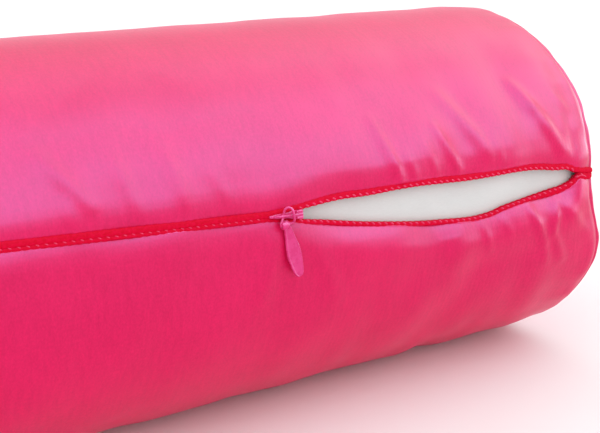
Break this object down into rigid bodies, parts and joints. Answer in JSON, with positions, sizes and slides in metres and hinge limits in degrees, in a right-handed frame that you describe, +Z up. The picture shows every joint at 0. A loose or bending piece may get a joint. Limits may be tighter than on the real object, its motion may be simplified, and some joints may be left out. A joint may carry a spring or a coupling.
{
  "type": "bolster pillow",
  "caption": "Small round bolster pillow in a removable satin cover, with a concealed zip along its front, a teardrop pull and a white inner pillow.",
  "frame": {"origin": "centre of the flat strip on which the bolster rests, under the middle of the barrel", "axes": "+X along the bolster towards the end that the zip opens to, -Y the side that the zip faces, +Z up"},
  "size_m": [0.406, 0.1552, 0.1494],
  "materials": {
    "sateen": "satin weave cotton, soft sheen",
    "zip_tape": "woven polyester tape",
    "zip_coil": "dyed nylon coil with sewing thread",
    "lacquered_metal": "gloss lacquer in the cover's colour",
    "white_cotton": "fine plain weave, matt",
    "filling_fibre": "bonded polyester fibre"
  },
  "bodies": {
    "cover": {"cover_barrel": "sateen", "end_panel_right": "sateen", "end_panel_left": "sateen", "top_stop_upper": "lacquered_metal", "top_stop_lower": "lacquered_metal", "bottom_stop": "lacquered_metal", "pillow_barrel": "white_cotton", "pillow_end_right": "white_cotton", "pillow_end_left": "white_cotton", "filling_roll": "filling_fibre"},
    "upper_lip": {"zip_tape_upper": "zip_tape", "zip_coil_upper": "zip_coil"},
    "lower_lip": {"zip_tape_lower": "zip_tape", "zip_coil_lower": "zip_coil"},
    "slider": {"slider_body": "lacquered_metal"},
    "ring": {"pull_ring": "lacquered_metal"},
    "tab": {"pull_tab": "lacquered_metal"}
  },
  "joints": [
    {"name": "slider_travel", "type": "slide", "parent": "cover", "child": "slider", "axis": [0.9986, -0.0125, -0.0522], "range_m": [-0.205, 0.134]},
    {"name": "ring_rock", "type": "hinge", "parent": "slider", "child": "ring", "pos_m": [0.0429, -0.07683, 0.0919], "axis": [-0.9986, 0.0125, 0.0522], "range_deg": [0, 20]},
    {"name": "tab_flip", "type": "hinge", "parent": "ring", "child": "tab", "pos_m": [0.04174, -0.07647, 0.08869], "axis": [-0.9784, -0.0481, -0.2009], "range_deg": [0, 125]},
    {"name": "upper_lip_turn", "type": "hinge", "parent": "cover", "child": "upper_lip", "pos_m": [0, 0, 0.0735], "axis": [1, 0, 0], "range_deg": [-11.3, 7.4], "deforming": ["zip_tape_upper", "zip_coil_upper"]},
    {"name": "lower_lip_turn", "type": "hinge", "parent": "cover", "child": "lower_lip", "pos_m": [0, 0, 0.0735], "axis": [1, 0, 0], "range_deg": [-7.4, 11.3], "deforming": ["zip_tape_lower", "zip_coil_lower"]}
  ],
  "couplings": [
    {"joint": "upper_lip_turn", "follows": "slider_travel", "rad_per_m": 0.95},
    {"joint": "lower_lip_turn", "follows": "slider_travel", "rad_per_m": -0.95}
  ]
}
